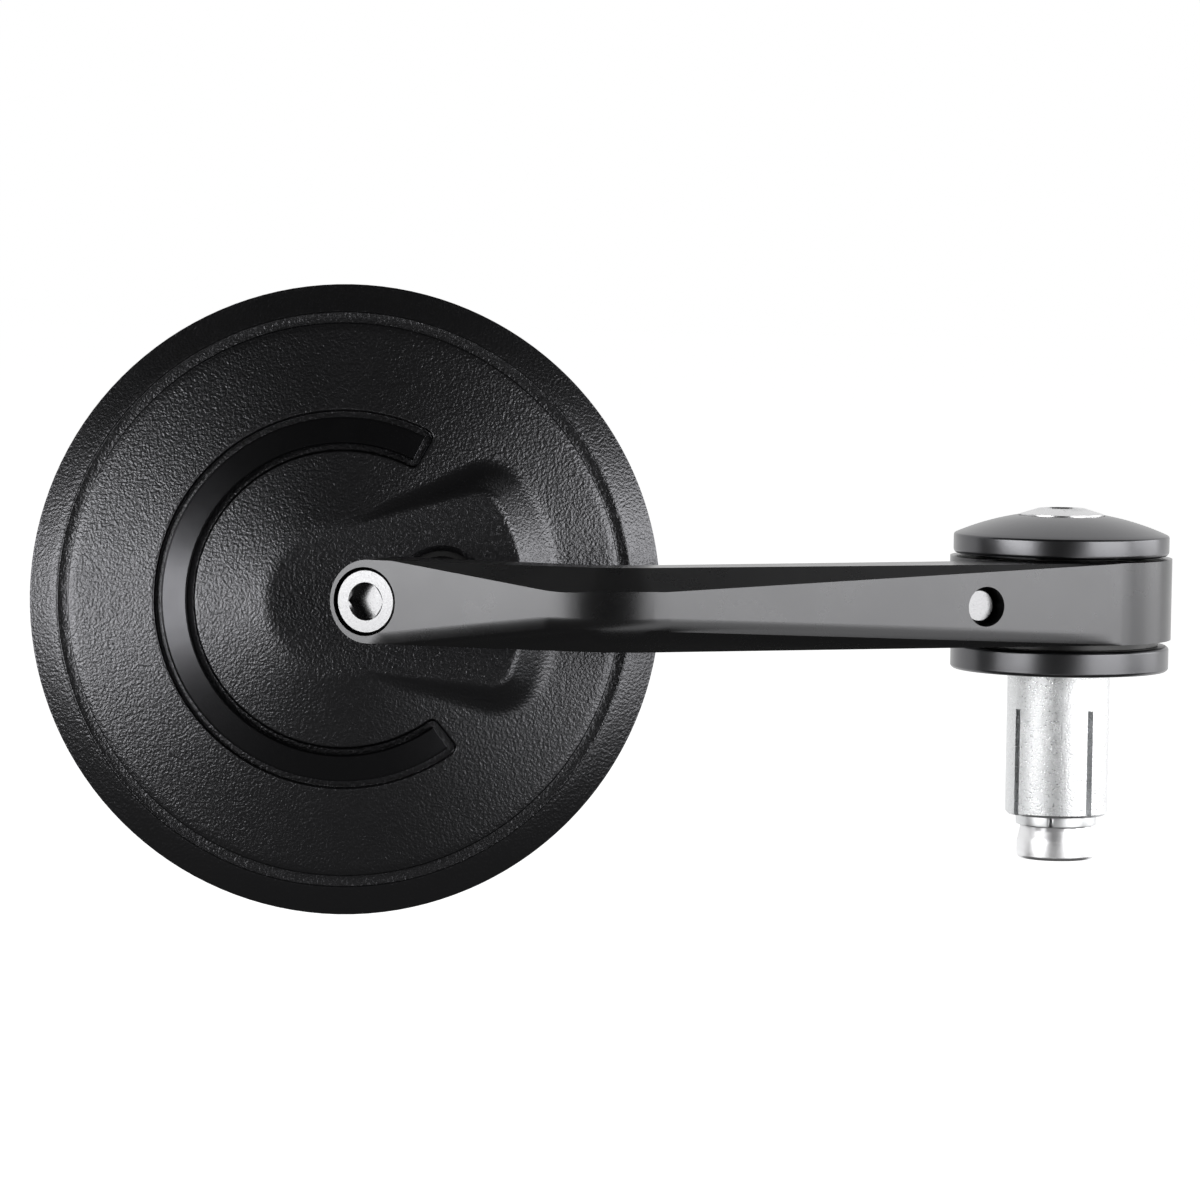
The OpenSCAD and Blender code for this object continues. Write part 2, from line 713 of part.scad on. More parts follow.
module glass_gasket() {
    color("#161616") in_head() translate([0, 0, glass_sink + 0.3])
        tube(head_r - rim_wall - fit, glass_r + fit, glass_back - glass_sink - 0.3);
}

module mirror_glass() {
    color("#cfd6da") in_head() translate([0, 0, glass_sink]) rotate_extrude()
        polygon(concat(
            [for (i = [0 : glass_steps]) let(r = glass_r * i / glass_steps) [r, bulge(r)]],
            [[glass_r, glass_t + glass_bulge], [0, glass_t + glass_bulge]]));
}

flange_hub();
expansion_sleeve();
expander_ring();
cone_nut();
centre_bolt();
end_cap();
upper_washer();
lower_washer();
arm();
clamp_screw();
joint_screw();
lock_washer();
ball_stud();
ball_liner();
mirror_shell();
trim_arc();
retainer_plate();
retainer_screws();
glass_pad();
glass_gasket();
mirror_glass();
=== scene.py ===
"""Looks of a motorcycle bar end mirror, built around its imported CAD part. Metres, z up."""

import json
import math

import bmesh
import bpy
import numpy as np
from mathutils import Matrix, Vector

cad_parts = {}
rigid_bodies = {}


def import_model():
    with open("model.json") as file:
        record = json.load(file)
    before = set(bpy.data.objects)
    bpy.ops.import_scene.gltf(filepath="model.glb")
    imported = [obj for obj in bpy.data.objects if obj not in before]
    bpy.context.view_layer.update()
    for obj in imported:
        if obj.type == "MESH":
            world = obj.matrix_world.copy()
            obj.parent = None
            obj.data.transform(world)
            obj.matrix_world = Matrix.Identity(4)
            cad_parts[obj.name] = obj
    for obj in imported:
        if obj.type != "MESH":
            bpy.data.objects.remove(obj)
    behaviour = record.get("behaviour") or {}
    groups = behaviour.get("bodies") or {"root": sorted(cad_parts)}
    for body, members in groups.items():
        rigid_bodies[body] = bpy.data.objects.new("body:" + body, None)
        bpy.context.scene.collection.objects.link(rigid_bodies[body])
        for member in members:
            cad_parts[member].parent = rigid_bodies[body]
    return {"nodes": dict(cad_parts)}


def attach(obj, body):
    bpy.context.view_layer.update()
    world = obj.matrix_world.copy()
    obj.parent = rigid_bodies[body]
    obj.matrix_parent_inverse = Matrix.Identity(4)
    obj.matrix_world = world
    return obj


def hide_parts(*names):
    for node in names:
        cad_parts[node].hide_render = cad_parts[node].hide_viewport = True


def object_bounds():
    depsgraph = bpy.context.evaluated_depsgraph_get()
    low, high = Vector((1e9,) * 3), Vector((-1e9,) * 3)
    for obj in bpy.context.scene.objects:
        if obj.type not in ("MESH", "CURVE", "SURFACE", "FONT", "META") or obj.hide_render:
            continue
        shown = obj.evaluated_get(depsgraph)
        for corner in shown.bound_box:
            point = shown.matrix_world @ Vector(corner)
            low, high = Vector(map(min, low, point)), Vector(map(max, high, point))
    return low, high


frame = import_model()
cad_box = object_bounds()

MM = 0.001
scene = bpy.context.scene

# The head's frame, as in the CAD source: z to the back of the head, x towards the ball
BALL = Vector((-96.3, -10, 11.3)) * MM
BALL_IN_HEAD = Vector((15.3, 0, 11.5)) * MM
HEAD_TILT, HEAD_ROLL = math.radians(4), math.radians(5)
HEAD = (
    Matrix.Translation(BALL)
    @ Matrix.Rotation(math.pi / 2 - HEAD_TILT, 4, "X")
    @ Matrix.Rotation(HEAD_ROLL, 4, "Z")
    @ Matrix.Translation(-BALL_IN_HEAD)
)


# Nodes and colours


def srgb(code):
    """Linear colour of an sRGB hex code."""
    parts = [int(code[i : i + 2], 16) / 255 for i in (1, 3, 5)]
    return [c / 12.92 if c <= 0.04045 else ((c + 0.055) / 1.055) ** 2.4 for c in parts] + [1]


def add_node(tree, kind, values=None, **settings):
    """Adds a node. A value is a number or colour for the socket, or the socket that it is linked from."""
    node = tree.nodes.new(kind)
    for key, value in settings.items():
        setattr(node, key, value)
    for key, value in (values or {}).items():
        if isinstance(value, bpy.types.NodeSocket):
            tree.links.new(value, node.inputs[key])
        else:
            node.inputs[key].default_value = value
    return node


def new_tree(name):
    """A material with an empty node tree."""
    material = bpy.data.materials.new(name)
    material.use_nodes = True
    material.node_tree.nodes.clear()
    return material, material.node_tree


def add_noise(tree, place, size, detail, roughness=0.5):
    """Noise whose features are size millimetres wide."""
    values = {"Vector": place, "Scale": 1 / (size * MM), "Detail": detail, "Roughness": roughness}
    return add_node(tree, "ShaderNodeTexNoise", values).outputs["Fac"]


def add_spread(tree, noise, low, high):
    """Takes the middle of a noise's values to the range from low to high."""
    values = {"Value": noise, "From Min": 0.3, "From Max": 0.7, "To Min": low, "To Max": high}
    return add_node(tree, "ShaderNodeMapRange", values).outputs["Result"]


def add_bump(tree, noise, depth):
    """Normal of a grain that is depth millimetres high."""
    values = {"Height": noise, "Distance": depth * MM, "Strength": 1.0}
    return add_node(tree, "ShaderNodeBump", values).outputs["Normal"]


def add_surface(tree, colour, values):
    """The shader of a finish, led to the material's output."""
    shader = add_node(tree, "ShaderNodeBsdfPrincipled", {"Base Color": srgb(colour)} | values)
    add_node(tree, "ShaderNodeOutputMaterial", {"Surface": shader.outputs["BSDF"]})


# Finishes

# Width in mm of the faint patches in a satin black's shine
PATCH = 9


def surface_place(tree, turned):
    """Object coordinates, or for a turned piece its radius and height, so that its grain runs round it."""
    place = add_node(tree, "ShaderNodeTexCoord").outputs["Object"]
    if not turned:
        return place
    flat = add_node(tree, "ShaderNodeVectorMath", {0: place, 1: (1, 1, 0)}, operation="MULTIPLY")
    radius = add_node(tree, "ShaderNodeVectorMath", {0: flat.outputs["Vector"]}, operation="LENGTH")
    height = add_node(tree, "ShaderNodeSeparateXYZ", {"Vector": place})
    around = {"X": radius.outputs["Value"], "Y": height.outputs["Z"]}
    return add_node(tree, "ShaderNodeCombineXYZ", around).outputs["Vector"]


def satin_black(name, colour, roughness, grit, depth, patches=0.02, turned=False):
    """Anodised or coated aluminium: grit is the width of its fine grain in mm, depth its height in mm."""
    material, tree = new_tree(name)
    place = surface_place(tree, turned)
    fine = add_noise(tree, place, grit, 2)
    broad = add_noise(tree, place, PATCH, 4, 0.6)
    spread = add_spread(tree, broad, roughness - patches, roughness + patches)
    values = {"Metallic": 1.0, "Roughness": spread, "Normal": add_bump(tree, fine, depth)}
    add_surface(tree, colour, values)
    return material


def bare_metal(name, colour, roughness, grit, depth, turned=False):
    """Bare metal: grit is the width of its turning lines or blasting in mm, depth their height in mm."""
    material, tree = new_tree(name)
    fine = add_noise(tree, surface_place(tree, turned), grit, 3, 0.6)
    spread = add_spread(tree, fine, roughness * 0.8, roughness * 1.2)
    values = {"Metallic": 1.0, "Roughness": spread, "Normal": add_bump(tree, fine, depth)}
    add_surface(tree, colour, values)
    return material


def moulded(name, colour, roughness, grit, depth):
    """Plastic, rubber or foam."""
    material, tree = new_tree(name)
    fine = add_noise(tree, surface_place(tree, False), grit, 2)
    add_surface(tree, colour, {"Roughness": roughness, "Normal": add_bump(tree, fine, depth)})
    return material


def silvered_glass():
    """Silvered glass: a sharp mirror with a faint cool tint."""
    material, tree = new_tree("Silvered glass")
    add_surface(tree, "#e6ecee", {"Metallic": 1.0, "Roughness": 0.015})
    return material


# Die-cast shell under a coarse powder coat: dull broad highlights, broken up by a fine sparkling grain
SHELL_GRAIN = satin_black("Powder-coated die-cast aluminium", "#555557", 0.29, 0.42, 0.11, 0.01)
# Milled bar, blasted and anodised: an even satin black with soft broad highlights
ARM_BLACK = satin_black("Anodised aluminium, milled and blasted", "#4e4e4f", 0.28, 0.22, 0.002)
# Turned parts of the bar end unit, anodised: satin black with finer highlights
TURNED_BLACK = satin_black("Anodised aluminium, turned", "#5a5a5c", 0.29, 0.3, 0.004, turned=True)
# Bent strip with a smooth anodised face: the darkest and smoothest of the blacks
TRIM_BLACK = satin_black("Anodised aluminium, smooth strip", "#424244", 0.25, 0.3, 0.001)
# Blasted aluminium of the sleeve: bright and sparkling
BLASTED = bare_metal("Bead-blasted aluminium", "#dadbdc", 0.3, 0.32, 0.12)
# Turned ring: bright, with fine lines that run round it
RING_METAL = bare_metal("Turned aluminium", "#d6d7d8", 0.36, 0.2, 0.006, turned=True)
# Turned cone nut: the brightest metal, with finer lines round it
NUT_METAL = bare_metal("Turned stainless steel", "#ececed", 0.38, 0.2, 0.004, turned=True)
# Small screws: a darker grey with a clear shine
SCREW_METAL = bare_metal("Zinc-plated steel", "#7c7c7d", 0.24, 0.25, 0.003)
# Top bolt: light and softly shining
BRIGHT_METAL = bare_metal("Bright stainless steel", "#d4d4d5", 0.3, 0.25, 0.003)
# Washers and plate: a plain middle grey
WASHER_METAL = bare_metal("Plain stainless steel", "#b0b0b2", 0.3, 0.25, 0.003)
# Ball and its neck: ground smooth, with sharp highlights
BALL_METAL = bare_metal("Ground bearing steel", "#a8a8aa", 0.2, 0.25, 0.001)
# Slide washers and liner: black with a soft shine
SLIDE_PLASTIC = moulded("Slide plastic, acetal", "#161616", 0.4, 0.4, 0.004)
# Pad behind the glass: black without shine
FOAM = moulded("Adhesive foam", "#1c1c1c", 0.9, 0.3, 0.05)
# Ring round the glass: black and nearly dull
RUBBER = moulded("Nitrile rubber", "#111112", 0.55, 0.5, 0.006)
# Mirror: a sharp reflection of all round it
MIRROR = silvered_glass()


# Meshes

# Edges that turn by more than ROUNDED are rounded, and faces that meet at more than CREASED stay creased
ROUNDED, CREASED = math.radians(24), math.radians(50)


def link(name, mesh):
    obj = bpy.data.objects.new(name, mesh)
    scene.collection.objects.link(obj)
    return obj


def apply_modifiers(obj):
    """Turns an object and its modifiers into one plain mesh."""
    depsgraph = bpy.context.evaluated_depsgraph_get()
    mesh = bpy.data.meshes.new_from_object(obj.evaluated_get(depsgraph))
    obj.modifiers.clear()
    old = obj.data
    obj.data = mesh
    bpy.data.meshes.remove(old)


def merged_copy(node, name, together=0.002, dissolve=True):
    """A copy of a CAD node's mesh with its doubles merged and its flat faces whole."""
    mesh = frame["nodes"][node].data.copy()
    mesh.materials.clear()
    bm = bmesh.new()
    bm.from_mesh(mesh)
    bmesh.ops.remove_doubles(bm, verts=bm.verts, dist=together * MM)
    if dissolve:
        bmesh.ops.dissolve_limit(bm, angle_limit=math.radians(0.4), verts=bm.verts, edges=bm.edges)
    bm.to_mesh(mesh)
    bm.free()
    return link(name, mesh)


def shade(mesh):
    """Smooth shading that keeps the creases."""
    mesh.shade_smooth()
    mesh.set_sharp_from_angle(angle=CREASED)


def weigh_edges(mesh, weight):
    """Marks the sharp edges for the bevel, each with its share of the full width."""
    bm = bmesh.new()
    bm.from_mesh(mesh)
    layer = bm.edges.layers.float.new("bevel_weight_edge")
    for edge in bm.edges:
        if edge.is_manifold and edge.calc_face_angle() > ROUNDED:
            edge[layer] = weight(edge)
    bm.to_mesh(mesh)
    bm.free()


def soften(obj, width, segments=2, weight=lambda edge: 1.0):
    """Rounds the sharp edges of a piece and shades it smooth with flat faces kept flat."""
    weigh_edges(obj.data, weight)
    bevel = obj.modifiers.new("edges", "BEVEL")
    bevel.width = width * MM
    bevel.segments = segments
    bevel.limit_method = "WEIGHT"
    bevel.miter_outer = "MITER_ARC"
    apply_modifiers(obj)
    shade(obj.data)
    weighted = obj.modifiers.new("normals", "WEIGHTED_NORMAL")
    weighted.keep_sharp = True
    weighted.weight = 80
    apply_modifiers(obj)


def stands_for(obj, node):
    """Hands a finished piece the CAD node's body, keeping its place, and hides the node."""
    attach(obj, frame["nodes"][node].parent.name.removeprefix("body:"))
    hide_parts(node)


# Pieces that only get a finish and rounded edges, with the width of those edges in mm
PLAIN = {
    "flange_hub": (TURNED_BLACK, 0.35),
    "end_cap": (TURNED_BLACK, 0.3),
    "expansion_sleeve": (BLASTED, 0.15),
    "expander_ring": (RING_METAL, 0.12),
    "cone_nut": (NUT_METAL, 0.15),
    "centre_bolt": (BRIGHT_METAL, 0.3),
    "upper_washer": (SLIDE_PLASTIC, 0.08),
    "lower_washer": (SLIDE_PLASTIC, 0.1),
    "clamp_screw": (SCREW_METAL, 0.12),
    "joint_screw": (SCREW_METAL, 0.15),
    "lock_washer": (WASHER_METAL, 0.1),
    "ball_stud": (BALL_METAL, 0.1),
    "ball_liner": (SLIDE_PLASTIC, 0.05),
    "retainer_plate": (WASHER_METAL, 0.12),
    "retainer_screws": (SCREW_METAL, 0.06),
    "glass_pad": (FOAM, 0.1),
    "glass_gasket": (RUBBER, 0.12),
    "mirror_glass": (MIRROR, 0.15),
}
for node, (material, width) in PLAIN.items():
    piece = merged_copy(node, node + "_finished")
    piece.data.materials.append(material)
    soften(piece, width)
    stands_for(piece, node)


def build_trim():
    """The strip's edges are crisp, and the corners of its two ends well rounded."""
    upright = HEAD.to_3x3() @ Vector((0, 0, 1))

    def weight(edge):
        way = (edge.verts[1].co - edge.verts[0].co).normalized()
        return 1.0 if abs(way.dot(upright)) > 0.9 else 0.12

    trim = merged_copy("trim_arc", "trim_arc_finished")
    trim.data.materials.append(TRIM_BLACK)
    soften(trim, 1.1, segments=4, weight=weight)
    stands_for(trim, "trim_arc")


build_trim()

# The arm's front in mm: its bend, and for each leg the normal of its face and the run-out of its chamfers
BEND_R, FACE_HALF, HALF_H, CHAMFER_DEPTH = 23, 3, 6.3, 4
RIGHT_N = np.array([math.sin(math.radians(24)), -math.cos(math.radians(24))])
LEFT_N = np.array([-math.sin(math.radians(25)), -math.cos(math.radians(25))])
EYE_R, STUD_REACH, RIGHT_RUNOUT, LEFT_RUNOUT = 17.3, 26, 77, 25
BALL_MM = np.array(BALL) / MM
LEG_REACHES = [EYE_R - BEND_R, BALL_MM[:2] @ LEFT_N + STUD_REACH - BEND_R]
BEND_CENTRE = np.linalg.solve([RIGHT_N, LEFT_N], LEG_REACHES)
LEGS = [
    (BEND_CENTRE + BEND_R * RIGHT_N, np.array([-RIGHT_N[1], RIGHT_N[0]]), RIGHT_N, RIGHT_RUNOUT),
    (BEND_CENTRE + BEND_R * LEFT_N, np.array([LEFT_N[1], -LEFT_N[0]]), LEFT_N, LEFT_RUNOUT),
]
# The rounded crease: where its band of faces is cut, over the crease, and its greatest half width
CREASE_CUTS = [-2.1, -1.7, -1.3, -0.9, -0.6, -0.3, 0.3, 0.6, 0.9, 1.3, 1.7, 2.1]
CREASE_HALF_W = 2.6


def on_front(point):
    """Of a point in mm: distance along its leg, depth behind the face, way out of the face, run-out."""
    flat = np.array(point[:2])
    for start, along, out, runout in LEGS:
        if (flat - start) @ along > 0:
            return (flat - start) @ along, (start - flat) @ out, out, runout
    away = flat - BEND_CENTRE
    return 0.0, BEND_R - np.linalg.norm(away), away / np.linalg.norm(away), RIGHT_RUNOUT


def front_faces(bm, along, out, runout):
    """The faces on one leg's front where its chamfers run, or those round the bend if along is None."""
    faces = []
    for face in bm.faces:
        reach, depth, way, _ = on_front(face.calc_center_bounds())
        if -1 < depth < 5 and face.normal.xy.dot(Vector(way)) > 0.5:
            if (along is None and reach == 0) or (out is way and 0 < reach < runout):
                faces.append(face)
    return faces


def ease_lower_crease(mesh):
    """Rounds the crease between the arm's front face and its lower chamfer broadly, as blasting leaves it."""
    drop = HALF_H - FACE_HALF
    bm = bmesh.new()
    bm.from_mesh(mesh)
    bm.transform(Matrix.Scale(1 / MM, 4))
    for off in CREASE_CUTS:
        level = BALL_MM[2] - FACE_HALF - off
        for start, along, out, runout in LEGS + [(BEND_CENTRE, None, None, None)]:
            faces = front_faces(bm, along, out, runout)
            parts = {v for f in faces for v in f.verts} | {e for f in faces for e in f.edges} | set(faces)
            slope = Vector((0, 0, 1)) if along is None else Vector((*(along * drop / runout), 1))
            bmesh.ops.bisect_plane(
                bm, geom=list(parts), plane_co=(*start, level), plane_no=slope.normalized(), dist=0.001
            )
    for vert in bm.verts:
        reach, depth, way, runout = on_front(vert.co)
        below = BALL_MM[2] - vert.co.z - FACE_HALF - drop * reach / runout
        past = below * CHAMFER_DEPTH / drop
        width = min(CREASE_HALF_W, 0.9 * CHAMFER_DEPTH * (1 - reach / runout))
        if width > 0 and abs(past) < width and abs(depth - max(past, 0)) < 0.06:
            move = (width - abs(past)) ** 2 / (4 * width)
            vert.co.x -= way[0] * move
            vert.co.y -= way[1] * move
    bm.transform(Matrix.Scale(MM, 4))
    bmesh.ops.remove_doubles(bm, verts=bm.verts, dist=0.03 * MM)
    bm.to_mesh(mesh)
    bm.free()


def build_arm():
    """The arm's long edges are rounded, and the short ones round its holes and corners less so."""
    arm = merged_copy("arm", "arm_finished", 0.015)
    arm.data.materials.append(ARM_BLACK)
    ease_lower_crease(arm.data)
    soften(arm, 0.6, segments=4, weight=lambda edge: 1.0 if edge.calc_length() > 6 * MM else 0.3)
    stands_for(arm, "arm")


build_arm()


# The shell's back as heights over the head's plane, in mm
GROOVE_R, PLATEAU_R, FACE_START, TOP = 42.8, 11.6, 8.9, 15.5
RECESS_IN, RECESS_OUT, RECESS_DEPTH, RECESS_HALF_GAP = 22.9, 29.2, 1.4, 56.58
RECESS_MID = (RECESS_IN + RECESS_OUT) / 2
BOSS_REACH, BOSS_W, BOSS_START, BOSS_CORNER = 28.3, 16.3, 11.2, 3.5
# Rings of the groove, the band, the straight wall and the rim: radius and height
OUTER_RINGS = [
    (42.65, 8.91), (42.76, 8.84), (42.8, 8.7), (42.8, 8.15), (42.86, 8.04), (42.98, 8.0), (44.4, 8.0),
    (44.54, 8.03), (44.6, 8.12), (44.6, 8.42), (44.67, 8.53), (44.82, 8.47), (46, 7.77), (48.5, 6.3),
    (48.72, 6.14), (48.88, 5.97), (48.97, 5.78), (49, 5.5), (49, 3), (49, 0.5), (48.94, 0.2),
    (48.8, 0.06), (48.6, 0),
]
# The recess's wall: distance inside its outline, and the depth there
WALL_WAY = [-0.25, -0.17, -0.09, -0.03, 0, 0.04, 0.12, 0.25]
WALL_DROP = [0, 0.02, 0.07, 0.14, 0.25, 1.2, 1.36, RECESS_DEPTH]
# Rings and turns of the grid on both sides of the recess's outline
LIPS = [-1.3, -1.1, -0.9, -0.7, -0.55, -0.4, -0.25, -0.12, -0.04, 0, 0.03, 0.09, 0.17, 0.25, 0.4]
# What is drawn anew: all beyond SIDE_R, down to SKIN under the new back within EDGE_R, and outside it
# down to GROOVE_SKIN under the groove's floor
SIDE_R, EDGE_R, GROOVE_FLOOR, SKIN, GROOVE_SKIN = 48.5, 42.7, 8.0, 1.7, 0.1
# Radius of the ball's opening with its chamfer, which stays as the CAD part has it
MOUTH_R = 7.2


def near_less(a, b, width):
    """The smaller of two heights, blended over a width."""
    return np.minimum(a, b) - np.maximum(width - np.abs(a - b), 0) ** 2 / (4 * width)


def boss_distance(x, y):
    """Distance outside the boss's plan, with rounded corners."""
    slope = (BOSS_W - BOSS_START) / BOSS_REACH
    n = np.array([-slope, 1]) / math.hypot(slope, 1)
    side = n[1] * BOSS_START - BOSS_CORNER
    round_r = BOSS_REACH - BOSS_CORNER
    along = math.sqrt(round_r**2 - side**2)
    corner = n * side + np.array([n[1], -n[0]]) * along
    y = np.abs(y)
    d_side, d_round = n[0] * x + n[1] * y - side, np.hypot(x, y) - round_r
    past_side = (x - corner[0]) * n[1] - (y - corner[1]) * n[0] > 0
    past_round = (y - corner[1]) * corner[0] - (x - corner[0]) * corner[1] > 0
    at_corner = np.hypot(x - corner[0], y - corner[1])
    d = np.where(past_side & past_round, at_corner, np.maximum(d_side, d_round)) - BOSS_CORNER
    return np.maximum(d, -x)


def recess_drop(r, turn):
    """Depth of the C-shaped recess, its mouth rounded and its corners too."""
    corner = 1.2
    across = np.maximum(RECESS_IN - r, r - RECESS_OUT) + corner
    along = np.radians(RECESS_HALF_GAP - np.degrees(np.abs(turn))) * RECESS_MID + corner
    outside = np.hypot(np.maximum(across, 0), np.maximum(along, 0))
    inside = np.minimum(np.maximum(across, along), 0)
    return np.interp(corner - outside - inside, WALL_WAY, WALL_DROP)


def back_height(r, turn):
    """Height of the back at a radius and a turn: cone, plateau and boss, less the recess."""
    x, y = r * np.cos(turn), r * np.sin(turn)
    cone = FACE_START + (GROOVE_R - r) * (TOP - FACE_START) / (GROOVE_R - PLATEAU_R)
    base = near_less(cone, np.full_like(cone, TOP), 0.2)
    boss = near_less(TOP - boss_distance(x, y), np.full_like(cone, TOP), 0.7)
    width = np.clip(TOP - np.maximum(base, boss), 0.01, 1.1)
    return -near_less(-base, -boss, width) - recess_drop(r, turn)


def steps(start, end, size):
    """Even steps from start to just before end."""
    return list(np.linspace(start, end, max(2, round(abs(end - start) / size) + 1))[:-1])


def back_grid():
    """Points of the shell's back in rings from its middle out, with the number of rings and of turns."""
    inner = [RECESS_IN - s for s in reversed(LIPS)]
    outer = [RECESS_OUT + s for s in LIPS]
    radii = [0.5, 4] + steps(8, inner[0], 0.3) + inner + steps(inner[-1] + 0.3, outer[0], 0.4) + outer
    radii += steps(outer[-1] + 0.3, 34, 0.35) + steps(34, 42.5, 1.0)
    ends = [RECESS_HALF_GAP - math.degrees(s / RECESS_MID) for s in LIPS]
    half = steps(0, ends[-1], 0.4) + sorted(ends) + steps(ends[0] + 0.5, 72, 0.5) + steps(72, 180, 1.5)
    turns = np.radians(sorted([-a for a in half if a > 0] + half + [180]))
    r, turn = np.meshgrid(np.array(radii), turns, indexing="ij")
    z = back_height(r, turn)
    rim_r, rim_z = (np.repeat(np.array(v)[:, None], len(turns), axis=1) for v in zip(*OUTER_RINGS))
    r, z = np.vstack([r, rim_r]), np.vstack([z, rim_z])
    turn = np.repeat(turns[None, :], len(r), axis=0)
    x, y = r * np.cos(turn), r * np.sin(turn)
    rows, cols = r.shape
    return np.stack([x, y, z], -1).reshape(-1, 3), rows, cols


def is_back(vert):
    """Whether a vertex of the CAD part's shell, in the head's frame, lies on its back."""
    reach = math.hypot(vert.co.x, vert.co.y)
    if reach > SIDE_R:
        return True
    top = float(back_height(np.array([reach]), np.array([math.atan2(vert.co.y, vert.co.x)]))[0])
    if reach < EDGE_R:
        return vert.co.z > top - SKIN
    return vert.co.z > min(top, GROOVE_FLOOR) - GROOVE_SKIN


def build_shell():
    """The shell: its back drawn anew with soft edges, its inside kept from the CAD part."""
    shell = merged_copy("mirror_shell", "shell_finished", dissolve=False)
    ball_x = BALL_IN_HEAD.x / MM
    bm = bmesh.new()
    bm.from_mesh(shell.data)
    bm.transform(Matrix.Scale(1 / MM, 4) @ HEAD.inverted())

    marks = {vert: is_back(vert) for vert in bm.verts}
    opening = {vert: math.hypot(vert.co.x - ball_x, vert.co.y) for vert in bm.verts}
    gone = [
        face
        for face in bm.faces
        if all(marks[v] for v in face.verts) and max(opening[v] for v in face.verts) > MOUTH_R + 0.1
    ]
    bmesh.ops.delete(bm, geom=gone, context="FACES")
    points, rows, cols = back_grid()
    verts = [bm.verts.new(p) for p in points]
    for vert in verts:
        away = Vector((vert.co.x - ball_x, vert.co.y))
        if abs(away.length - MOUTH_R) < 0.17:
            away = away.normalized() * MOUTH_R
            vert.co.x, vert.co.y = away.x + ball_x, away.y
    for i in range(rows - 1):
        here, there = verts[i * cols : (i + 1) * cols], verts[(i + 1) * cols : (i + 2) * cols]
        for j in range(cols):
            k = (j + 1) % cols
            quad = [here[j], there[j], there[k], here[k]]
            centre = sum((v.co for v in quad), Vector()) / 4
            if math.hypot(centre.x - ball_x, centre.y) > MOUTH_R - 0.01:
                bm.faces.new(quad)
    bm.faces.new(verts[:cols])
    bmesh.ops.delete(bm, geom=[v for v in bm.verts if not v.link_faces], context="VERTS")
    bmesh.ops.remove_doubles(bm, verts=bm.verts, dist=0.004)
    bm.transform(HEAD @ Matrix.Scale(MM, 4))
    bm.to_mesh(shell.data)
    bm.free()
    shell.data.materials.append(SHELL_GRAIN)
    shade(shell.data)
    stands_for(shell, "mirror_shell")


build_shell()


# Stage: floor, background, lamps and camera

LOOK_AT = Vector((-71.9, 0, 9.74)) * MM
# The head swings up to 6 mm lower than at rest, so the floor lies clear of it
FLOOR_Z = cad_box[0][2] - 8 * MM
# Light from all round that falls on the object, and the floor's own light to the eye
FILL, FLOOR_GLOW = 0.35, 0.69


def add_larger(tree, a, b):
    return add_node(tree, "ShaderNodeMath", {0: a, 1: b}, operation="MAXIMUM").outputs[0]


def seen_directly(tree):
    """1 for rays of the camera and for those that shine off or pass through the object."""
    path = add_node(tree, "ShaderNodeLightPath").outputs
    eye_or_shine = add_larger(tree, path["Is Camera Ray"], path["Is Glossy Ray"])
    return add_larger(tree, eye_or_shine, path["Is Transmission Ray"])


def build_world():
    """White all round to the eye, and a soft fill for the object."""
    world = bpy.data.worlds.new("Studio")
    scene.world = world
    world.use_nodes = True
    tree = world.node_tree
    tree.nodes.clear()
    to_white = {"Value": seen_directly(tree), "To Min": FILL, "To Max": 1.0}
    level = add_node(tree, "ShaderNodeMapRange", to_white)
    white = {"Color": srgb("#ffffff"), "Strength": level.outputs["Result"]}
    back = add_node(tree, "ShaderNodeBackground", white)
    add_node(tree, "ShaderNodeOutputWorld", {"Surface": back.outputs["Background"]})


def build_floor():
    """Plain white floor that keeps the object's shadow."""
    material, tree = new_tree("Matt white paper")
    paper = add_node(tree, "ShaderNodeBsdfDiffuse", {"Color": srgb("#f2f2f2")})
    lift = add_node(tree, "ShaderNodeMath", {0: seen_directly(tree), 1: FLOOR_GLOW}, operation="MULTIPLY")
    glow = add_node(tree, "ShaderNodeEmission", {"Strength": lift.outputs[0]})
    both = add_node(tree, "ShaderNodeAddShader", {0: paper.outputs[0], 1: glow.outputs[0]})
    add_node(tree, "ShaderNodeOutputMaterial", {"Surface": both.outputs[0]})
    flat = bpy.data.meshes.new("floor")
    flat.from_pydata(level_corners((-5, 5), (-5, 5), FLOOR_Z), [], [(0, 1, 2, 3)])
    flat.materials.append(material)
    link("floor", flat)


def level_corners(x, y, z):
    """Corners of a level rectangle from its two ends along x and along y."""
    return [(x[0], y[0], z), (x[1], y[0], z), (x[1], y[1], z), (x[0], y[1], z)]


def dark_card(name, corners, level):
    """A card that only shows in reflections, as a studio's black card does out of the frame."""
    material, tree = new_tree("Black card, " + name)
    glow = add_node(tree, "ShaderNodeEmission", {"Strength": level})
    add_node(tree, "ShaderNodeOutputMaterial", {"Surface": glow.outputs[0]})
    flat = bpy.data.meshes.new(name)
    flat.from_pydata([Vector(c) + LOOK_AT for c in corners], [], [(0, 1, 2, 3)])
    flat.materials.append(material)
    card = link(name, flat)
    card.visible_camera = card.visible_diffuse = card.visible_shadow = card.visible_transmission = False


def dark_surround(radius, start, end, low, high, level, count=24):
    """A curved card behind the lamps, in flat strips from one azimuth to another."""
    turns = [math.radians(start + (end - start) * i / count) for i in range(count + 1)]
    ring = [(radius * math.sin(t), -radius * math.cos(t)) for t in turns]
    for i in range(count):
        (x0, y0), (x1, y1) = ring[i], ring[i + 1]
        dark_card(f"surround_{i}", [(x0, y0, low), (x1, y1, low), (x1, y1, high), (x0, y0, high)], level)


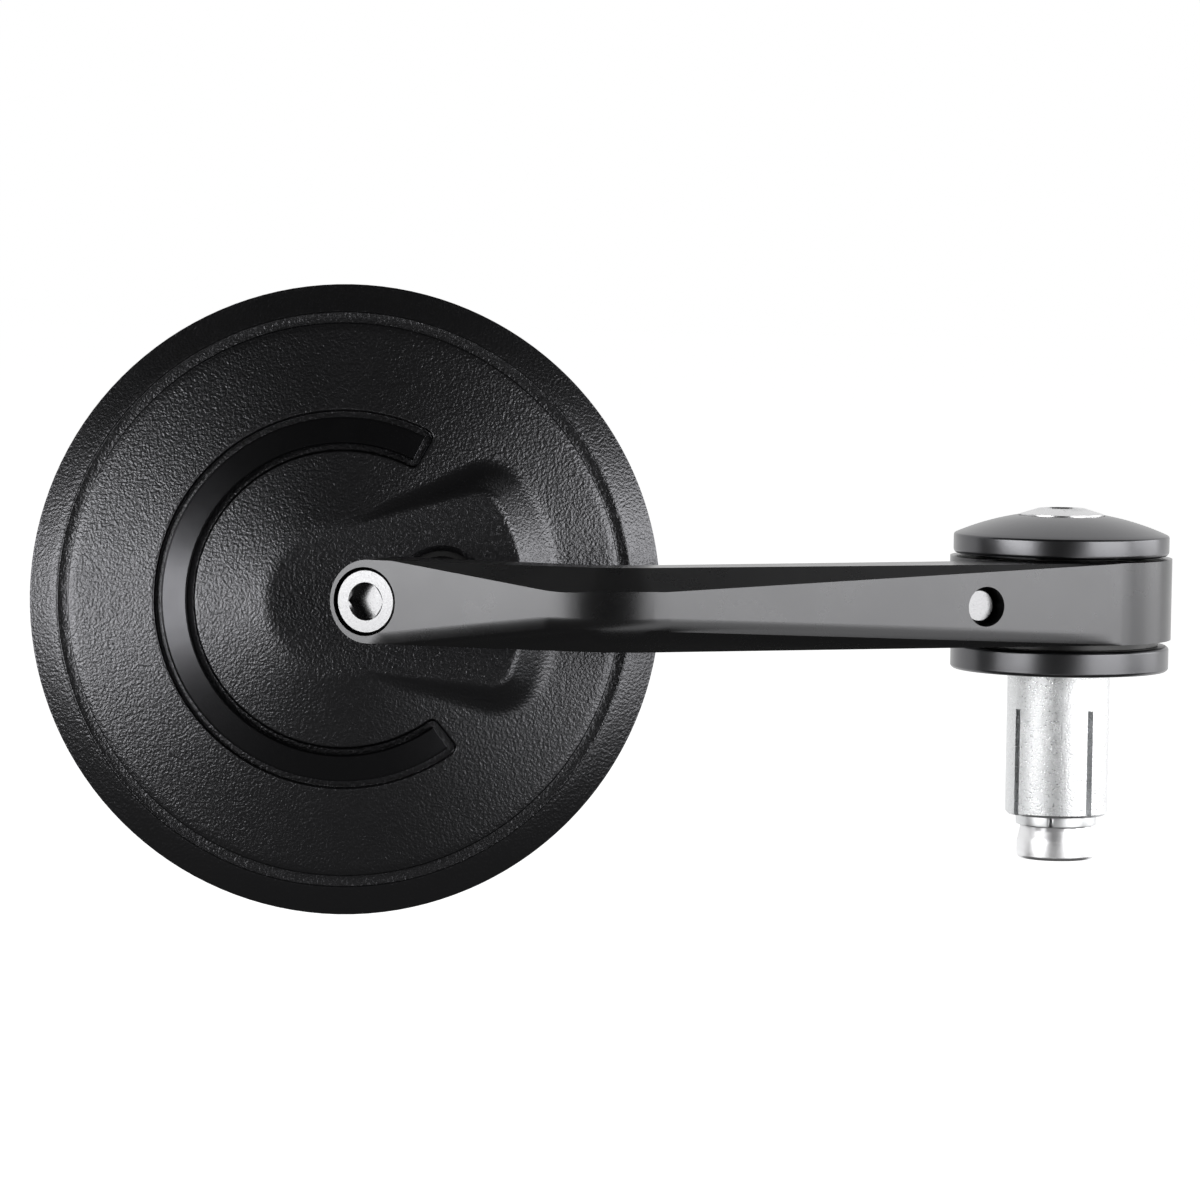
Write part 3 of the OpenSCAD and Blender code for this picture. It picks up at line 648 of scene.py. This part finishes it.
def softbox(name, azimuth, elevation, distance, width, height, radiance):
    """A rectangular soft lamp. Azimuth 0 is the camera's side, and positive to its right."""
    lamp = bpy.data.lights.new(name, "AREA")
    lamp.shape = "RECTANGLE"
    lamp.size, lamp.size_y = width, height
    lamp.energy = radiance * math.pi * width * height
    obj = bpy.data.objects.new(name, lamp)
    scene.collection.objects.link(obj)
    a, e = math.radians(azimuth), math.radians(elevation)
    way = Vector((math.sin(a) * math.cos(e), -math.cos(a) * math.cos(e), math.sin(e)))
    obj.location = LOOK_AT + way * distance
    obj.rotation_euler = way.to_track_quat("Z", "Y").to_euler()


def build_camera():
    """A long lens a little over the object, turned as the photo is."""
    lens = bpy.data.cameras.new("camera")
    lens.lens, lens.sensor_width = 163.2, 36
    camera = bpy.data.objects.new("camera", lens)
    scene.collection.objects.link(camera)
    elevation, roll, distance = math.radians(3.95), math.radians(0.85), 0.85
    away = Vector((0, -math.cos(elevation), math.sin(elevation))) * distance
    camera.matrix_world = (
        Matrix.Translation(LOOK_AT + away)
        @ Matrix.Rotation(math.pi / 2 - elevation, 4, "X")
        @ Matrix.Rotation(roll, 4, "Z")
    )
    scene.camera = camera


build_world()
build_floor()
# Cards are placed from LOOK_AT in metres, and the low ones lie just over the floor
LOW = FLOOR_Z - LOOK_AT.z + 0.3 * MM
FRONT = [(-0.25, -0.65, LOW), (0.25, -0.65, LOW), (0.25, -0.65, 1.2), (-0.25, -0.65, 1.2)]
LOW_STRIP = [(-0.25, -0.65, LOW), (0.25, -0.65, LOW), (0.1, -0.17, LOW), (-0.01, -0.08, LOW)]
dark_card("front_card", FRONT, 0.04)
dark_card("top_card", level_corners((-1.4, 1.4), (-1.4, 0.15), 0.5), 0.05)
dark_card("low_card_left", level_corners((-1.4, -0.01), (-0.35, 0.02), LOW), 0.09)
dark_card("low_card_right", level_corners((-0.01, 1.4), (-0.08, 0.02), LOW), 0.09)
dark_card("low_strip", LOW_STRIP, 0.09)
dark_surround(1.3, -82, 70, LOW, 1.2, 0.07)
softbox("left_softbox", -51, 1, 0.85, 0.66, 0.28, 7.6)
softbox("right_softbox", 50, 8, 0.85, 0.68, 0.4, 5.2)
softbox("side_softbox", 98, 5, 1.0, 0.7, 0.6, 3.6)
build_camera()
scene.view_settings.view_transform = "Standard"
